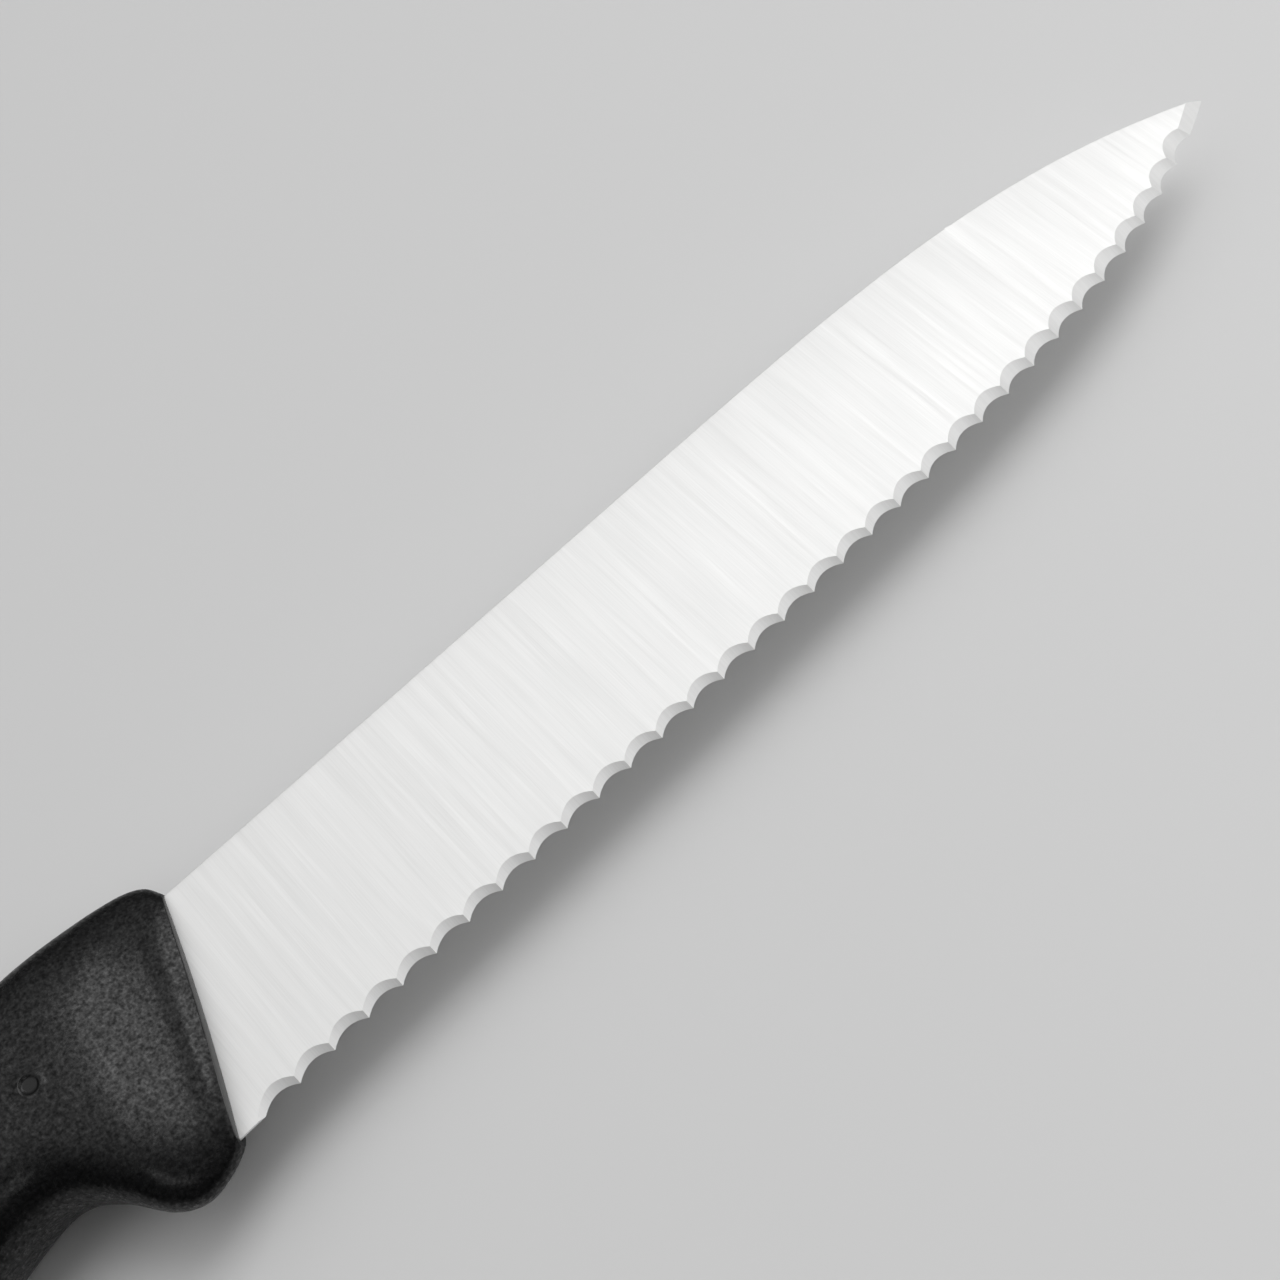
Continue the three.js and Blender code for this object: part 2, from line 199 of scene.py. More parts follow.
class HandleSizes(bpy.types.PropertyGroup):
    length: length("Length", "From the end of the spine to the butt", 108)
    thickness: length("Thickness", "Across the two flat sides", 14)
    side_crown: length("Side crown", "What the flats take off each bulging side", 0.6)
    flat_blend: length("Flat blend", "Softness of the flats' borders", 0.5)
    lip_over: length("Lip over the spine", "Lip above the spine", 0.15)
    lip_under: length("Lip under the heel", "Lip below the heel", 0.45)
    lip_wall: length("Lip wall", "Lip over each face of the blade", 1.0)
    lip_round: length("Lip rounding", "How far the lip's front edges are eased back", 0.06)
    lip_bow: length("Lip bow", "How far the lip's middle stands forward", 0.3)
    lip_gap: length("Lip gap", "Between the lip and the steel", 0.04)
    fit_gap: length("Fit gap", "Between the tang and its pocket", 0.25)
    crown: length("Crown", "Top of the grip above the spine", 2.6)
    palm_height: length("Palm height", "Height between the neck and the belly", 19.4)
    belly_height: length("Belly height", "Height at the belly", 20.3)
    waist_height: length("Waist height", "Height at the waist", 17.2)
    waist_from_end: length("Waist from the end", "From the butt to the waist", 28)
    waist_top_drop: length("Waist top drop", "Top of the waist below the crown", 1.25)
    hook_height: length("Hook height", "Height where the butt starts", 18.2)
    hook_top_drop: length("Hook top drop", "Top of the hook below the crown", 3.85)
    butt_height: length("Butt height", "Height at the butt's end", 15.6)
    butt_top_drop: length("Butt top drop", "Top of the butt below the crown", 5.85)
    butt_round: length("Butt rounding", "Rounding of the butt", 6.4)
    mark_radius: length("Mark radius", "Radius of the round marks of the mould's pins", 0.8)
    mark_depth: length("Mark depth", "Depth of the marks", 0.08)
    mark_rim: length("Mark rim", "Height of the rim round each mark", 0.06)
    mark_back: length("Mark back", "From the end of the spine back to the marks", 14.8)
    mark_below: length("Mark below", "From the spine down to the marks", 6.6)


class Finish(bpy.types.PropertyGroup):
    steel: colour("Steel", "Steel between its brush lines", (0.87, 0.87, 0.865))
    steel_line: colour("Brush lines", "Steel in its brush lines", (0.825, 0.825, 0.82))
    plastic: colour("Plastic", "Plastic of the handle", (0.0008, 0.00085, 0.00095))
    # Painted highlight: a lighter colour on the tops of the plastic's grain stands in for the light they
    # catch
    plastic_painted_highlight: colour("Plastic painted highlights", "Plastic on the tops of its grain", (0.004, 0.0041, 0.0043))


class Stage(bpy.types.PropertyGroup):
    floor: colour("Floor", "Colour of the floor", (0.7, 0.7, 0.7))
    sky: number("Studio above", "Light from straight above", 1.4)
    around: number("Studio around", "Light from low on all sides", 0.08)
    horizon: number("Horizon", "Light of the narrow band at the horizon, behind the floor", 0.3)
    front_share: share("Studio in front", "Share of the light from above on the edge's side", 0.03)
    key_power: number("Key power", "Power of the softbox above the spine, in watts", 2.7)
    fill_power: number("Fill power", "Power of the softbox on the edge's side, in watts", 0.25)
    edge_power: number("Edge power", "Power of the near softbox over the edge, in watts", 0.14)
    tip_power: number("Tip power", "Power of the low softbox beyond the tip, in watts", 0.15)
    camera_place: FloatVectorProperty(
        name="Camera place",
        description="Camera from the end of the spine",
        default=(14.47 * MM, -69.39 * MM, 124.01 * MM),
        subtype="TRANSLATION",
        unit="LENGTH",
        precision=5,
    )
    camera_turn: FloatVectorProperty(
        name="Camera turn",
        description="Rotation of the camera",
        default=[math.radians(turn) for turn in (25.752, 9.5606, -42.1437)],
        subtype="EULER",
    )
    camera_lens: number("Camera lens", "Focal length in millimetres on a 36 mm sensor", 50.625)


class Knife(bpy.types.PropertyGroup):
    blade: PointerProperty(type=BladeSizes, name="Blade", description="Sizes of the blade")
    handle: PointerProperty(type=HandleSizes, name="Handle", description="Sizes of the handle")
    finish: PointerProperty(type=Finish, name="Finish", description="Colours of the knife")
    stage: PointerProperty(type=Stage, name="Stage", description="Floor, light and camera")


def in_millimetres(group):
    """The values of a settings group, with its lengths in millimetres."""
    found = SimpleNamespace()
    for key, prop in group.bl_rna.properties.items():
        if prop.type == "FLOAT":
            value = getattr(group, key)
            setattr(found, key, value / MM if prop.unit == "LENGTH" else value)
    return found


# Tools for meshes


def plate(points, half, bend=None):
    """A plate of an outline, with half(x, y) of its thickness on each side of the middle plane. Its
    faces may bend at one x."""
    bm = bmesh.new()
    bm.faces.new([bm.verts.new(point) for point in points])
    if bend is not None:
        bmesh.ops.bisect_plane(
            bm,
            geom=[*bm.verts, *bm.edges, *bm.faces],
            dist=TOUCH,
            plane_co=(bend, 0.0, 0.0),
            plane_no=(1.0, 0.0, 0.0),
        )
    made = bmesh.ops.extrude_face_region(bm, geom=list(bm.faces))["geom"]
    upper = {part for part in made if isinstance(part, bmesh.types.BMVert)}
    for vert in bm.verts:
        depth = half(vert.co.x, vert.co.y)
        vert.co.z = depth if vert in upper else -depth
    bmesh.ops.recalc_face_normals(bm, faces=bm.faces)
    return bm


def new_object(name, bm):
    """An object with the mesh of a bmesh, which is used up."""
    mesh = bpy.data.meshes.new(name)
    bm.to_mesh(mesh)
    bm.free()
    made = bpy.data.objects.new(name, mesh)
    bpy.context.scene.collection.objects.link(made)
    return made


def carve(piece, tool, operation):
    """Cuts a bmesh out of a piece, or joins it to the piece, and uses it up."""
    cutter = new_object("tool", tool)
    change = piece.modifiers.new("change", "BOOLEAN")
    change.operation = operation
    change.solver = "EXACT"
    change.object = cutter
    depsgraph = bpy.context.evaluated_depsgraph_get()
    shaped = bpy.data.meshes.new_from_object(piece.evaluated_get(depsgraph))
    piece.modifiers.clear()
    before, piece.data = piece.data, shaped
    bpy.data.objects.remove(cutter)
    bpy.data.meshes.remove(before)


def finish_piece(piece, node, material, crease):
    """Puts a piece in the part's frame in place of its node, with smooth faces between its creases."""
    piece.data.transform(Matrix.Translation(SPINE_START) @ Matrix.Scale(MM, 4))
    piece.data.shade_smooth()
    piece.data.set_sharp_from_angle(angle=crease)
    piece.data.materials.clear()
    piece.data.materials.append(material)
    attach(piece, "root")
    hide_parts(node)


# Blade


def polar(point, turn, reach):
    """A point at a reach from another, in a direction in the blade's middle plane."""
    return point + Vector((math.cos(turn), math.sin(turn), 0.0)) * reach


def junction_x(blade, y):
    """Where the slanted line between handle and blade lies at a height."""
    return blade.lean * y / blade.height


def tip_point(blade):
    """Where the spine and the edge meet."""
    return Vector((blade.length, -blade.tip_drop, 0.0))


def spot(point):
    """The x and y of a point, rounded so that equal places match."""
    return round(point.x, DECIMALS), round(point.y, DECIMALS)


def spine_points(blade):
    """The curved part of the spine, up to the tip."""
    tip = tip_point(blade)
    turn = Vector((blade.spine_straight, 0.0, 0.0))
    span = tip.x - turn.x
    start_pull = polar(turn, 0.0, span * blade.spine_pull_start)
    tip_pull = polar(tip, math.pi - blade.spine_tip_angle, span * blade.spine_pull_tip)
    return interpolate_bezier(turn, start_pull, tip_pull, tip, CURVE_STEPS)


def edge_points(blade):
    """The edge from the heel to the tip, before it is scalloped."""
    tip = tip_point(blade)
    heel = Vector((-blade.lean, -blade.height, 0.0))
    rise = math.tan(blade.edge_slope)
    turn = heel + Vector((1.0, rise, 0.0)) * blade.edge_straight
    span = tip.x - turn.x
    start_pull = polar(turn, blade.edge_slope, span * blade.edge_pull_start)
    tip_pull = polar(tip, math.pi + blade.edge_tip_angle, span * blade.edge_pull_tip)
    return [heel, *interpolate_bezier(turn, start_pull, tip_pull, tip, CURVE_STEPS)]


def half_blade(blade, x, y):
    """Half the thickness of the ground blade. Each face closes to the edge and to the tip, and faster
    past the bend at the fore."""
    to_edge = (blade.sheet - blade.edge_thickness) / 2 / blade.height
    to_fore = (blade.sheet - blade.fore_thickness) / 2 / blade.fore
    plain_tip = blade.sheet / 2 - to_edge * blade.tip_drop - to_fore * blade.length
    to_tip = (plain_tip - blade.tip_thickness / 2) / (blade.length - blade.fore)
    past = max(0.0, x - blade.fore)
    return blade.sheet / 2 + to_edge * y - to_fore * x - to_tip * past


def blade_blank(blade):
    """The ground blade without its tang and scallops, with the spine's edges rounded."""
    edge = edge_points(blade)
    rise = math.tan(blade.edge_slope)
    shoulder_top = Vector((-blade.shoulder, 0.0, 0.0))
    shoulder_low = edge[0] - Vector((1.0, rise, 0.0)) * blade.shoulder
    spine = [shoulder_top, *spine_points(blade)]
    outline = [*spine, *reversed(edge[1:-1]), shoulder_low]
    bm = plate(outline, partial(half_blade, blade), blade.fore)
    on_spine = {spot(point) for point in spine}

    def along_spine(bm_edge):
        first, last = bm_edge.verts
        both = spot(first.co) in on_spine and spot(last.co) in on_spine
        return both and first.co.z * last.co.z > 0.0

    bmesh.ops.bevel(
        bm,
        geom=[bm_edge for bm_edge in bm.edges if along_spine(bm_edge)],
        offset=blade.spine_round,
        affect="EDGES",
        segments=SPINE_SEGMENTS,
        profile=0.5,
        material=-1,
    )
    return bm


def tang_plate(blade, half, grow):
    """The strip that runs into the handle. Grown, it is the strip's pocket."""
    top = -blade.tang_below + blade.tang_height / 2 + grow
    low = -blade.tang_below - blade.tang_height / 2 - grow
    back = -blade.tang_length - grow
    start = blade.tang_overlap - blade.shoulder + grow
    corners = [
        (junction_x(blade, top) + start, top, 0.0),
        (back, top, 0.0),
        (back, low, 0.0),
        (junction_x(blade, low) + start, low, 0.0),
    ]
    bm = plate(corners, lambda x, y: half + grow)

    def at_end_corner(bm_edge):
        first, last = bm_edge.verts
        at_end = max(first.co.x, last.co.x) < back + TOUCH
        return at_end and abs(first.co.z - last.co.z) > half

    bmesh.ops.bevel(
        bm,
        geom=[bm_edge for bm_edge in bm.edges if at_end_corner(bm_edge)],
        offset=blade.tang_corner + grow,
        affect="EDGES",
        segments=CORNER_SEGMENTS,
        profile=0.5,
        material=-1,
    )
    return bm


def key_pins(blade, radius):
    """Two pins where the tang's holes are, long enough to pass through it."""
    bm = bmesh.new()
    for x in (-blade.front_hole, blade.rear_hole - blade.tang_length):
        bmesh.ops.create_cone(
            bm,
            cap_ends=True,
            segments=ROUND_SIDES,
            radius1=radius,
            radius2=radius,
            depth=4 * blade.sheet,
            matrix=Matrix.Translation((x, -blade.tang_below, 0.0)),
        )
    return bm


def edge_walk(blade):
    """A function for the point and the direction at a distance along the edge, and the edge's length."""
    points = edge_points(blade)
    steps = [(end - start).length for start, end in zip(points, points[1:])]

    def walk(distance):
        for start, end, step in zip(points, points[1:], steps):
            if distance <= step:
                break
            distance -= step
        way = (end - start).normalized()
        return start + way * distance, way

    return walk, sum(steps)


def bevel_place(blade, walk, distance, lift):
    """A place on the bevel plane: X off the bevel, Y along the edge and Z up the bevel."""
    point, run = walk(distance)
    inward = Vector((-run.y, run.x, 0.0))
    climb = inward * math.cos(blade.bevel_angle) + Vector((0.0, 0.0, math.sin(blade.bevel_angle)))
    normal = run.cross(climb)
    point.z = -half_blade(blade, point.x, point.y)
    place = Matrix((normal, run, climb)).transposed().to_4x4()
    place.translation = point + normal * lift
    return place


def cut_scallops(piece, blade):
    """Grinds the round scallops and the flat facet at the tip into one side of the edge."""
    walk, edge_length = edge_walk(blade)
    sink = blade.scallop_depth * math.sin(blade.bevel_angle)
    radius = ((blade.scallop_pitch / 2) ** 2 + sink ** 2) / (2 * sink)
    reach = 2 * radius
    count = int((edge_length - blade.plain_heel - blade.tip_facet) / blade.scallop_pitch)
    apart = math.ceil(reach / blade.scallop_pitch)
    for first in range(apart):
        bm = bmesh.new()
        for i in range(first, count, apart):
            centre = blade.plain_heel + (i + 0.5) * blade.scallop_pitch
            bmesh.ops.create_cone(
                bm,
                cap_ends=True,
                segments=GROOVE_SIDES,
                radius1=radius,
                radius2=radius,
                depth=reach,
                matrix=bevel_place(blade, walk, centre, radius - sink),
            )
        carve(piece, bm, "DIFFERENCE")
    facet_start = blade.plain_heel + count * blade.scallop_pitch
    facet_length = edge_length - facet_start
    bm = bmesh.new()
    size = Matrix.Diagonal((reach, facet_length + reach, reach, 1.0))
    shift = Matrix.Translation((reach / 2, reach / 2, 0.0))
    place = bevel_place(blade, walk, facet_start + facet_length / 2, 0.0)
    bmesh.ops.create_cube(bm, size=1.0, matrix=place @ shift @ size)
    carve(piece, bm, "DIFFERENCE")


# Handle


def handle_stations(blade, handle):
    """Top and bottom points of the handle's sections. The top's z is half the section's thickness, and
    the bottom's z is the power of its super-ellipse."""
    lip_low = -blade.height - handle.lip_under
    full = handle.thickness / 2
    lip_half = blade.sheet / 2 + handle.lip_wall
    stations = [(
        Vector((junction_x(blade, handle.lip_over), handle.lip_over, lip_half)),
        Vector((junction_x(blade, lip_low), lip_low, LIP_POWER)),
    )]
    for back, top, low, half, power in FRONT_SECTIONS:
        stations.append((Vector((-back, top, half)), Vector((-blade.lean - back, -low, power))))
    neck_x = -blade.lean - NECK[0]
    waist_x = handle.waist_from_end - handle.length
    belly_x = (neck_x + waist_x) / 2
    grip_half = full + handle.side_crown
    for x, top, height in (
        ((neck_x + belly_x) / 2, handle.crown, handle.palm_height),
        (belly_x, handle.crown, handle.belly_height),
        (waist_x, handle.crown - handle.waist_top_drop, handle.waist_height),
        (handle.butt_round - handle.length, handle.crown - handle.hook_top_drop, handle.hook_height),
        (-handle.length, handle.crown - handle.butt_top_drop, handle.butt_height),
    ):
        stations.append((Vector((x, top, grip_half)), Vector((x, top - height, GRIP_POWER))))
    return stations


def on_line(points, place):
    """A point on the smooth line through points. The place counts the points passed."""
    i = min(int(place), len(points) - 2)
    t = place - i
    start, end = points[i], points[i + 1]
    before = points[i - 1] if i else 2 * start - end
    after = points[i + 2] if i + 2 < len(points) else 2 * end - start
    leave = (end - before) / 2
    arrive = (after - start) / 2
    bend = 2 * (start - end) + leave + arrive
    lift = 3 * (end - start) - 2 * leave - arrive
    return ((bend * t + lift) * t + leave) * t + start


def powered(value, power):
    """A sine or cosine bent to a super-ellipse of a power."""
    return math.copysign(abs(value) ** (2 / power), value)


def soft_limit(value, limit, blend):
    """A value held to a limit on both sides of zero, with a soft bend before the limit."""
    size = abs(value)
    mix = min(1.0, max(0.0, 0.5 + 0.5 * (limit - size) / blend))
    held = limit + (size - limit) * mix - blend * mix * (1.0 - mix)
    return math.copysign(held, value)


def skin_point(handle, tops, bottoms, place, up, side):
    """A point on the handle's outside, at the section that lies at a place along the stations."""
    top = on_line(tops, place)
    bottom = on_line(bottoms, place)
    to_end = max(0.0, handle.length + (top.x + bottom.x) / 2)
    in_round = max(0.0, handle.butt_round - to_end)
    shrink = handle.butt_round - math.sqrt(handle.butt_round ** 2 - in_round ** 2)
    power = bottom.z * (UPPER_SHARE if up > 0.0 else 1.0)
    height = powered(up, power) * (1.0 - 2.0 * shrink / (top.y - bottom.y))
    depth = powered(side, power) * (top.z - shrink)
    mix = (1.0 - height) / 2
    point = top.lerp(bottom, mix)
    bow = handle.lip_bow * max(0.0, 1.0 - place / 2) * (1.0 - height ** 2)
    return Vector((point.x + bow, point.y, soft_limit(depth, handle.thickness / 2, handle.flat_blend)))


def slot_point(blade, handle, back, bow, up, side):
    """A point on the wall of the lip's slot, at a way back from the lip's front."""
    corner = max(abs(up), abs(side))
    height = up / corner
    y = -blade.height / 2 + height * (blade.height / 2 + handle.lip_gap)
    x = junction_x(blade, y) - back
    depth = half_blade(blade, x, y) + handle.lip_gap
    return Vector((x + bow * (1.0 - height ** 2), y, depth * side / corner))


def lip_point(inner, outer, mix, ease, up, side):
    """A point on the lip's front, between the slot's section and the outside's section."""
    point = inner(up, side).lerp(outer(up, side), mix)
    point.x -= ease
    return point


def loft(sections, polished):
    """Pulls a ring through the sections and closes both ends. A section places a point of the unit
    circle, and the first few sections, which are polished, are marked so."""
    bm = bmesh.new()
    turn = bm.verts.layers.float_vector.new("turn")
    polish = bm.verts.layers.float.new("polish")
    bmesh.ops.create_circle(bm, cap_ends=True, segments=RING_SIDES, radius=1.0)
    for vert in bm.verts:
        vert[turn] = vert.co
        vert.co = sections[0](vert[turn].y, vert[turn].x)
    ring = list(bm.edges)
    for count, section in enumerate(sections[1:], start=1):
        made = bmesh.ops.extrude_edge_only(bm, edges=ring)["geom"]
        verts = {part for part in made if isinstance(part, bmesh.types.BMVert)}
        for vert in verts:
            vert.co = section(vert[turn].y, vert[turn].x)
            vert[polish] = 1.0 if count < polished else 0.0
        edges = [part for part in made if isinstance(part, bmesh.types.BMEdge)]
        ring = [part for part in edges if verts.issuperset(part.verts)]
    bmesh.ops.edgeloop_fill(bm, edges=ring)
    bm.verts.layers.float_vector.remove(turn)
    bmesh.ops.recalc_face_normals(bm, faces=bm.faces)
    return bm


def handle_skin(blade, handle):
    """The moulded body, with the slot for the blade's shoulder and a rounded lip round that slot."""
    stations = handle_stations(blade, handle)
    tops = [top for top, bottom in stations]
    bottoms = [bottom for top, bottom in stations]
    spans = len(stations) - 1
    slot_back = blade.shoulder + handle.lip_gap
    inner = partial(slot_point, blade, handle, 0.0, handle.lip_bow)
    outer = partial(skin_point, handle, tops, bottoms, 0.0)
    sections = [
        partial(slot_point, blade, handle, slot_back, 0.0),
        partial(slot_point, blade, handle, BOW_DEPTH, handle.lip_bow),
    ]
    for mix, ease in LIP_PROFILE:
        sections.append(partial(lip_point, inner, outer, mix, ease * handle.lip_round))
    polished = len(sections)
    places = [i / RINGS_PER_SPAN for i in range(1, (spans - 1) * RINGS_PER_SPAN)]
    end_steps = 2 * RINGS_PER_SPAN
    places += [spans - 1 + math.sin(math.pi / 2 * i / end_steps) for i in range(end_steps + 1)]
    sections += [partial(skin_point, handle, tops, bottoms, place) for place in places]
    return loft(sections, polished)


def eased(value):
    """A value from 0 to 1 with a soft start and end."""
    held = min(1.0, max(0.0, value))
    return held * held * (3.0 - 2.0 * held)


def mark_relief(handle, away):
    """How far the surface stands out at a distance from the middle of a pin's mark."""
    wall = MARK_WALL * handle.mark_radius
    rim_end = MARK_RIM_END * handle.mark_radius
    if away < handle.mark_radius:
        rise = eased((away - handle.mark_radius + wall) / wall)
        return -handle.mark_depth + (handle.mark_depth + handle.mark_rim) * rise
    return handle.mark_rim * eased((rim_end - away) / (rim_end - handle.mark_radius))


def press_marks(bm, handle):
    """Presses the round marks of the mould's pins into both sides."""
    centre = Vector((-handle.mark_back, -handle.mark_below))
    inside = handle.thickness / 4
    reach = MARK_REACH * handle.mark_radius
    mesh_reach = MARK_MESH * handle.mark_radius

    def away(point):
        return (point.xy - centre).length

    def near_mark(face, side):
        middle = face.calc_center_median()
        return side * middle.z > inside and away(middle) < mesh_reach

    for side in (1.0, -1.0):
        near = [
            bm_edge for bm_edge in bm.edges
            if any(near_mark(face, side) for face in bm_edge.link_faces)
        ]
        bmesh.ops.subdivide_edges(bm, edges=near, cuts=MARK_CUTS, use_grid_fill=True)
    polish = bm.verts.layers.float["polish"]
    for vert in bm.verts:
        if abs(vert.co.z) > inside and away(vert.co) < reach:
            vert[polish] = 1.0 if away(vert.co) < handle.mark_radius else 0.0
            vert.co.z += math.copysign(1.0, vert.co.z) * mark_relief(handle, away(vert.co))


# Materials

# Brush lines of the steel: lines per metre on each axis, the noise's levels, and what the fine and the
# broad lines add
FINE_LINES = (14000.0, 160.0, 160.0)
BROAD_LINES = (2600.0, 60.0, 60.0)
LINE_LEVELS = (0.3, 0.7)
FINE_LINE_DETAIL = 2.0
BROAD_LINE_DETAIL = 3.0
FINE_LINE_SHARE = 0.55
BROAD_LINE_SHARE = 0.45
LINE_ROUGHNESS = (0.73, 0.65)
LINE_BUMP = 0.15
LINE_HEIGHT = 0.003 * MM

# Grain of the plastic: grains per metre on each axis, the noise's levels, what each grain adds, and the
# levels of the whole
BROAD_GRAIN = (2500.0, 2650.0, 2550.0)
SPOT_GRAIN = (4100.0, 3900.0, 4000.0)
FINE_GRAIN = (5900.0, 6100.0, 6000.0)
GRAIN_LEVELS = (0.22, 0.78)
GRAIN_DETAIL = 1.0
BROAD_GRAIN_SHARE = 0.4
SPOT_GRAIN_SHARE = 0.4
FINE_GRAIN_SHARE = 0.2
WHOLE_GRAIN_LEVELS = (0.1, 0.9)
GRAIN_ROUGHNESS = (0.5, 0.4)
GRAIN_HEIGHT = 0.05 * MM

# Shine of the plastic, in its pits and on its tops, and on the polished lip and marks
SHINE_POWER = 1.6
SHINE_LEVELS = (0.1, 1.0)
POLISHED_SHINE = 0.45
COAT_ROUGHNESS = 0.24
PLASTIC_SPECULAR = 0.05

# Colour sockets of the Mix node, whose names its other sockets share
MIX_FIRST = 6
MIX_LAST = 7
MIX_RESULT = 2


def new_node(tree, kind, values=None, **options):
    """A node with its options and the values of its inputs."""
    node = tree.nodes.new(kind)
    for key, value in options.items():
        setattr(node, key, value)
    for key, value in (values or {}).items():
        node.inputs[key].default_value = value
    return node


def fine_relief():
    """A shader group of noise on the object's own axes, stretched along them and drawn out between two
    levels."""
    name = "Fine relief"
    if name in bpy.data.node_groups:
        return bpy.data.node_groups[name]
    tree = bpy.data.node_groups.new(name, "ShaderNodeTree")
    for label, kind, value in (
        ("Grains per metre", "NodeSocketVector", (1000.0, 1000.0, 1000.0)),
        ("Detail", "NodeSocketFloat", 2.0),
        ("Low", "NodeSocketFloat", 0.0),
        ("High", "NodeSocketFloat", 1.0),
    ):
        socket = tree.interface.new_socket(label, in_out="INPUT", socket_type=kind)
        socket.default_value = value
    tree.interface.new_socket("Relief", in_out="OUTPUT", socket_type="NodeSocketFloat")
    enter = new_node(tree, "NodeGroupInput")
    leave = new_node(tree, "NodeGroupOutput")
    place = new_node(tree, "ShaderNodeTexCoord")
    stretch = new_node(tree, "ShaderNodeVectorMath", operation="MULTIPLY")
    noise = new_node(tree, "ShaderNodeTexNoise", {"Scale": 1.0})
    drawn_out = new_node(tree, "ShaderNodeMapRange")
    link = tree.links.new
    link(place.outputs["Object"], stretch.inputs[0])
    link(enter.outputs["Grains per metre"], stretch.inputs[1])
    link(stretch.outputs["Vector"], noise.inputs["Vector"])
    link(enter.outputs["Detail"], noise.inputs["Detail"])
    link(noise.outputs["Fac"], drawn_out.inputs["Value"])
    link(enter.outputs["Low"], drawn_out.inputs["From Min"])
    link(enter.outputs["High"], drawn_out.inputs["From Max"])
    link(drawn_out.outputs["Result"], leave.inputs["Relief"])
    return tree


def relief(tree, grains, detail, low, high):
    """The output of a new use of the fine relief."""
    values = {"Grains per metre": grains, "Detail": detail, "Low": low, "High": high}
    node = new_node(tree, "ShaderNodeGroup", values, node_tree=fine_relief())
    return node.outputs["Relief"]


def between(tree, factor, low, high):
    """A value that goes from low to high with a factor."""
    node = new_node(tree, "ShaderNodeMapRange", {"To Min": low, "To Max": high})
    tree.links.new(factor, node.inputs["Value"])
    return node.outputs["Result"]


def spread(tree, value, low, high):
    """A value between two levels, drawn out to run from 0 to 1."""
    node = new_node(tree, "ShaderNodeMapRange", {"From Min": low, "From Max": high})
    tree.links.new(value, node.inputs["Value"])
    return node.outputs["Result"]


def tinted(tree, factor, first, last):
    """A colour that goes from the first to the last with a factor."""
    node = new_node(tree, "ShaderNodeMix", data_type="RGBA")
    node.inputs[MIX_FIRST].default_value = (*first, 1.0)
    node.inputs[MIX_LAST].default_value = (*last, 1.0)
    tree.links.new(factor, node.inputs["Factor"])
    return node.outputs[MIX_RESULT]


def combined(tree, operation, first, last):
    """Two values put together by a math node. Each is an output or a number."""
    node = new_node(tree, "ShaderNodeMath", operation=operation)
    for value, socket in zip((first, last), node.inputs):
        if isinstance(value, bpy.types.NodeSocket):
            tree.links.new(value, socket)
        else:
            socket.default_value = value
    return node.outputs["Value"]


def new_material(name):
    """A node material, its tree and its shader."""
    material = bpy.data.materials.new(name)
    material.use_nodes = True
    return material, material.node_tree, material.node_tree.nodes["Principled BSDF"]


def bumped(tree, shader, height, strength, distance):
    """Gives a shader the bumps of a height."""
    node = new_node(tree, "ShaderNodeBump", {"Strength": strength, "Distance": distance})
    tree.links.new(height, node.inputs["Height"])
    tree.links.new(node.outputs["Normal"], shader.inputs["Normal"])


def brushed_steel(finish):
    """Bright steel with fine brush lines from the spine to the edge."""
    material, tree, shader = new_material("Brushed steel")
    fine = relief(tree, FINE_LINES, FINE_LINE_DETAIL, *LINE_LEVELS)
    broad = relief(tree, BROAD_LINES, BROAD_LINE_DETAIL, *LINE_LEVELS)
    fine_part = between(tree, fine, 0.0, FINE_LINE_SHARE)
    broad_part = between(tree, broad, 0.0, BROAD_LINE_SHARE)
    lines = combined(tree, "ADD", fine_part, broad_part)
    link = tree.links.new
    link(tinted(tree, lines, finish.steel_line, finish.steel), shader.inputs["Base Color"])
    link(between(tree, lines, *LINE_ROUGHNESS), shader.inputs["Roughness"])
    shader.inputs["Metallic"].default_value = 1.0
    bumped(tree, shader, lines, LINE_BUMP, LINE_HEIGHT)
    return material


